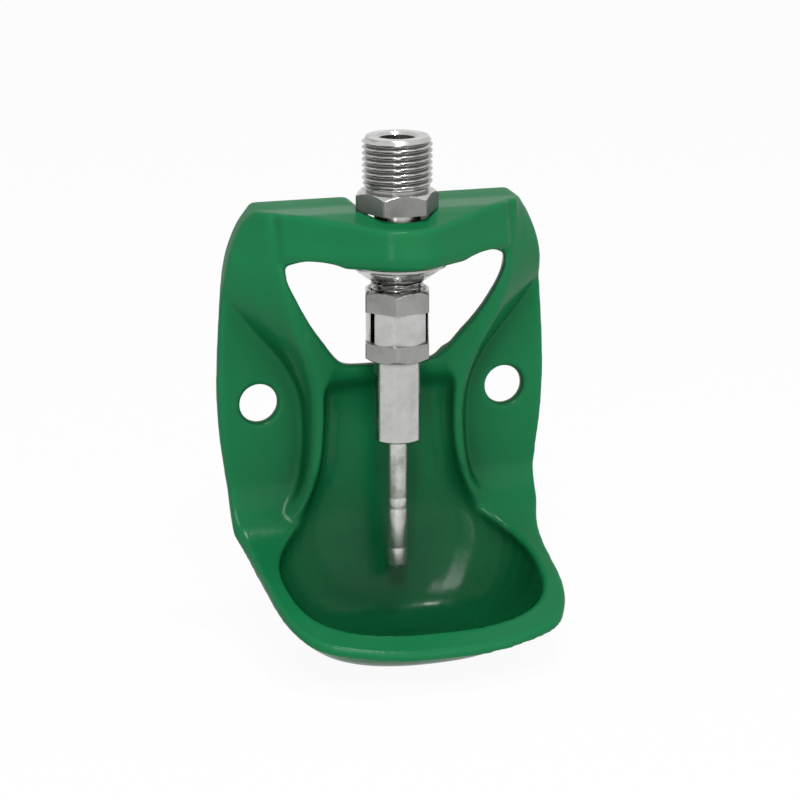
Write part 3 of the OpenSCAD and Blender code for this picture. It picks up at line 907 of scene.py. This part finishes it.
@dataclass
class GuideBody:
    """The guide turned from hexagon bar: hexagon, slotted round part, hexagon and tube.

    Attributes:
        steps: Number of points round the axis.
        across, turn: Width of the bar across its flats and the angle of one corner, in degrees.
        tube_low, tube_r: Lower end and radius of the tube.
        lower_low, lower_high: Ends of the lower hexagon.
        upper_low, top: Ends of the upper hexagon.
        skim: Depth that the turned part between the hexagons lies under the flats.
        lower_cone, upper_cone: Radius at the hexagons' outer ends and slope of the cone behind it.
        slot_turns: Angles of the milled slots, in degrees.
        slot_size: Length, width and height of the block that mills a slot.
        slot_start: Distance of the block from the axis and from the lower hexagon.
        bore: Radii and heights of the bore.
    """

    steps: int = 180
    across: float = 19.0
    turn: float = 13.4
    tube_low: float = -9.7
    tube_r: float = 7.0
    lower_low: float = 15.6
    lower_high: float = 21.2
    upper_low: float = 30.8
    top: float = 37.2
    skim: float = 0.03
    lower_cone: tuple[float, float] = (9.15, 1.5)
    upper_cone: tuple[float, float] = (9.3, 1.6)
    slot_turns: tuple[float, ...] = (82.4, 202.4, 322.4)
    slot_size: tuple[float, float, float] = (12.0, 1.9, 9.1)
    slot_start: tuple[float, float] = (4.0, 0.3)
    bore: Profile = (
        (6.35, -9.7),
        (6.0, -9.2),
        (6.0, 31.6),
        (8.05, 31.6),
        (8.05, 36.4),
        (8.8, 37.2),
    )

    def outside(self, angles: np.ndarray, z: float) -> np.ndarray:
        """Give the outer radius at a height."""
        if z < self.lower_low:
            return np.full_like(angles, min(self.tube_r, self.tube_r - 0.35 + (z - self.tube_low)))
        flat = hexagon(angles, self.across, self.turn)
        if z < self.lower_high:
            end, slope = self.lower_cone
            return np.minimum(flat, end + (z - self.lower_low) * slope)
        if z < self.upper_low:
            return np.full_like(angles, self.across / 2 - self.skim)
        end, slope = self.upper_cone
        return np.minimum(flat, end + (self.top - z) * slope)

    def levels(self) -> list[float]:
        """List the heights of the rings, dense at the hexagons' broken corners."""
        return [
            *(self.tube_low + rise for rise in (0.0, 0.2, 0.4)),
            *np.linspace(self.tube_low + 4, self.lower_low - 0.6, 6),
            self.lower_low - STEP,
            *np.linspace(self.lower_low, self.lower_low + 1.4, 12),
            *(self.lower_high - drop for drop in (0.12, STEP, 0.0)),
            *(self.upper_low + rise for rise in (-STEP, 0.0, 0.12)),
            *np.linspace(self.top - 1.2, self.top, 10),
        ]

    def build(self, material: bpy.types.Material, stock: bpy.types.Material) -> None:
        """Make the turned bar, mill its slots and dress it, with the flats as the bar came."""
        obj = polar_solid("slotted_guide", self.levels(), self.outside, self.bore, self.steps)
        for turn in self.slot_turns:
            cut(obj, self.slot_cutter(turn))
        obj.data.shade_smooth()
        split_sharp(obj, 34)
        dress(obj, material, Body.HOUSING, "guide_body")
        dress_flats(obj, stock, [(self.lower_low, self.lower_high), (self.upper_low, self.top)])

    def slot_cutter(self, turn: float) -> bpy.types.Object:
        """Make the block that mills one slot at an angle in degrees."""
        length, width, height = self.slot_size
        start, rise = self.slot_start
        mesh = bmesh.new()
        bmesh.ops.create_cube(mesh, size=1.0)
        a = math.radians(turn)
        for v in mesh.verts:
            x = (v.co.x + 0.5) * length + start
            y = v.co.y * width
            z = (v.co.z + 0.5) * height + self.lower_high + rise
            across = x * math.sin(a) + y * math.cos(a)
            v.co = ((x * math.cos(a) - y * math.sin(a)) * MM, across * MM + AXIS_Y, z * MM)
        data = bpy.data.meshes.new("slot")
        mesh.to_mesh(data)
        mesh.free()
        return link_object("slot", data)


@dataclass
class ValveInsides:
    """The rod with its head, and the CAD pieces in the valve that are shown as they are.

    Attributes:
        rod_r: Radius of the rod.
        tip: Height of the rod's lower end.
        dome: Height of its domed tip.
        grooves: Heights of the worn grooves.
        groove_size: Depth and half the width of a groove.
        head_low: Height of the head's underside at the rod.
        head: Radii and heights above the underside, round the head.
        kept: Material slots of the CAD pieces that are shown as they are.
    """

    rod_r: float = 2.95
    tip: float = -51.1
    dome: float = 2.2
    grooves: tuple[float, ...] = (-43.9, -31.5, -28.2)
    groove_size: tuple[float, float] = (0.07, 0.35)
    head_low: float = 33.95
    head: Profile = ((2.95, 0.1), (5.3, 0.39), (5.3, 1.6), (2.6, 1.6), (2.0, 2.2), (0.8, 2.35), (0.0, 2.35))
    kept: dict[str, Slot] = field(
        default_factory=lambda: {
            "inlet_strainer": Slot.STAINLESS,
            "valve_seal": Slot.RUBBER,
            "spring_cup": Slot.DRAWN,
            "valve_spring": Slot.SPRING,
        }
    )

    def build_rod(self, material: bpy.types.Material) -> None:
        """Make and dress the rod, with its domed tip, worn grooves and turned head."""
        outline = [
            (self.rod_r * math.sin(a), self.tip + self.dome * (1 - math.cos(a)))
            for a in np.linspace(0, math.pi / 2, 9)
        ]
        depth, half = self.groove_size
        for z in self.grooves:
            outline += [(self.rod_r, z - half), (self.rod_r - depth, z), (self.rod_r, z + half)]
        outline += [(r, self.head_low + rise) for r, rise in self.head]
        obj = turned_piece("tilting_rod", outline)
        split_sharp(obj, 40)
        dress(obj, material, Body.ROD, "valve_rod")

    def dress_kept(self, materials: dict[Slot, bpy.types.Material]) -> None:
        """Give the CAD pieces that are shown as they are their materials."""
        for node, slot in self.kept.items():
            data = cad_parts[node].data
            if not data.materials:
                data.materials.append(materials[slot])
            for index in range(len(data.materials)):
                data.materials[index] = materials[slot]
            log.info("%s: kept from the frame", node)


# ---- studio


@dataclass(frozen=True)
class Lamp:
    """A soft area lamp that faces the object.

    Attributes:
        name: Name of the lamp.
        place: Its position in metres.
        size: Its width in metres.
        power: Its power in watts.
        height: Its height in metres, or 0 if it is round.
    """

    name: str
    place: tuple[float, float, float]
    size: float
    power: float
    height: float = 0.0

    def build(self, aim: Vector) -> None:
        """Hang the lamp and turn it to a point."""
        data = bpy.data.lights.new(self.name, "AREA")
        data.energy = self.power
        data.size = self.size
        data.shape = "RECTANGLE" if self.height else "DISK"
        if self.height:
            data.size_y = self.height
        obj = bpy.data.objects.new(self.name, data)
        bpy.context.scene.collection.objects.link(obj)
        obj.location = self.place
        obj.rotation_euler = (aim - Vector(self.place)).to_track_quat("-Z", "Y").to_euler()


@dataclass
class Studio:
    """Camera, light and floor.

    Attributes:
        azimuth, elevation: Viewing angle in degrees, from the front towards -X and from the level.
        distance: Distance from the target, in millimetres.
        target: Point in the picture's middle, in millimetres.
        focal_px, image_px: Focal length and width of the picture, in pixels.
        sensor: Width of the camera's sensor, in millimetres.
        sky: Strength of the surround, apart from what is seen in it.
        floor_white: How far the floor that is seen turns from lit grey to white.
        floor_grey, floor_rough: Brightness and roughness of the floor.
        floor_half: Half the floor's width, in metres.
        floor_gap: Distance between the floor and the object, in metres.
        aim: Point that the lamps face, in metres.
        lamps: The lamps.
    """

    azimuth: float = 16.57
    elevation: float = 15.71
    distance: float = 894.0
    target: tuple[float, float, float] = (0.88, -18.9, 2.2)
    focal_px: float = 2965.76
    image_px: float = 800.0
    sensor: float = 36.0
    sky: float = 0.42
    floor_white: float = 0.94
    floor_grey: float = 0.85
    floor_rough: float = 0.9
    floor_half: float = 3.0
    floor_gap: float = 0.0005
    aim: tuple[float, float, float] = (0.0, -0.02, 0.0)
    lamps: tuple[Lamp, ...] = (
        Lamp("key", (-0.25, -0.95, 1.0), 0.45, 9.0),
        Lamp("fill", (0.5, -1.5, 0.3), 1.8, 7.0),
        Lamp("top", (0.1, -0.25, 1.3), 0.1, 5.0),
        Lamp("strip", (-0.62, -1.25, 0.15), 0.09, 3.5, 1.1),
    )

    def camera(self) -> None:
        """Place the camera at the photograph's viewing angle."""
        a, e = math.radians(self.azimuth), math.radians(self.elevation)
        forward = Vector((math.sin(a) * math.cos(e), math.cos(a) * math.cos(e), -math.sin(e)))
        data = bpy.data.cameras.new("photo_camera")
        data.sensor_width = self.sensor
        data.lens = self.focal_px / self.image_px * self.sensor
        data.clip_start = 0.01
        obj = bpy.data.objects.new("photo_camera", data)
        bpy.context.scene.collection.objects.link(obj)
        obj.location = (Vector(self.target) - forward * self.distance) * MM
        obj.rotation_euler = forward.to_track_quat("-Z", "Y").to_euler()
        bpy.context.scene.camera = obj

    def seen(self, tree: bpy.types.NodeTree) -> bpy.types.NodeSocket:
        """Add a mask that is 1 for rays of the camera, of reflections and of glass, and return its socket."""
        path = add_node(tree, "ShaderNodeLightPath").outputs
        mirrored = calculate(tree, "MAXIMUM", path["Is Glossy Ray"], path["Is Transmission Ray"])
        return calculate(tree, "MAXIMUM", path["Is Camera Ray"], mirrored)

    def world(self) -> None:
        """Give a soft grey surround that the camera, metal and glass see as white."""
        world = bpy.data.worlds.new("surround")
        bpy.context.scene.world = world
        world.use_nodes = True
        tree = world.node_tree
        ground = tree.nodes["Background"]
        ground.inputs["Color"].default_value = (1.0, 1.0, 1.0, 1.0)
        feed(tree, blend_value(tree, self.seen(tree), self.sky, 1.0), ground.inputs["Strength"])

    def floor(self) -> None:
        """Lay a plain floor under the object, nearly white to the camera except in the object's shadow."""
        low, half = CAD_BOUNDS[0][2] - self.floor_gap, self.floor_half
        points = np.array([(-half, -half, low), (half, -half, low), (half, half, low), (-half, half, low)])
        obj = mesh_object("studio_floor", points, [(0, 1, 2, 3)], smooth=False)
        grey = (self.floor_grey, self.floor_grey, self.floor_grey)
        material, shader = base_material("floor_white", grey, 0.0, self.floor_rough)
        shader.inputs["Specular IOR Level"].default_value = 0.0
        tree = material.node_tree
        glow = add_node(tree, "ShaderNodeEmission", in_Strength=1.0)
        mix = add_node(tree, "ShaderNodeMixShader")
        feed(tree, blend_value(tree, self.seen(tree), 0.0, self.floor_white), mix.inputs[0])
        tree.links.new(shader.outputs[0], mix.inputs[1])
        tree.links.new(glow.outputs[0], mix.inputs[2])
        tree.links.new(mix.outputs[0], tree.nodes["Material Output"].inputs["Surface"])
        obj.data.materials.append(material)

    def build(self) -> None:
        """Set the whole studio up."""
        self.camera()
        self.world()
        self.floor()
        for lamp in self.lamps:
            lamp.build(Vector(self.aim))
        bpy.context.scene.view_settings.view_transform = "Standard"


def main() -> None:
    """Build every piece in order."""
    glaze = glaze_group()
    turning = turning_group()
    materials = {
        Slot.ENAMEL: EnamelFinish().build(glaze),
        Slot.STAINLESS: TURNED.build(turning),
        Slot.DRAWN: DRAWN.build(turning),
        Slot.SPRING: SPRUNG.build(turning),
        Slot.RUBBER: RubberFinish().build(glaze),
    }
    Casting().build(materials[Slot.ENAMEL])
    InletFitting().build(materials[Slot.STAINLESS], INLET_BAR.build(turning))
    ClampNut().build(materials[Slot.STAINLESS])
    GuideBody().build(materials[Slot.STAINLESS], GUIDE_BAR.build(turning))
    insides = ValveInsides()
    insides.build_rod(materials[Slot.DRAWN])
    insides.dress_kept(materials)
    Studio().build()


if __name__ == "__main__":
    main()
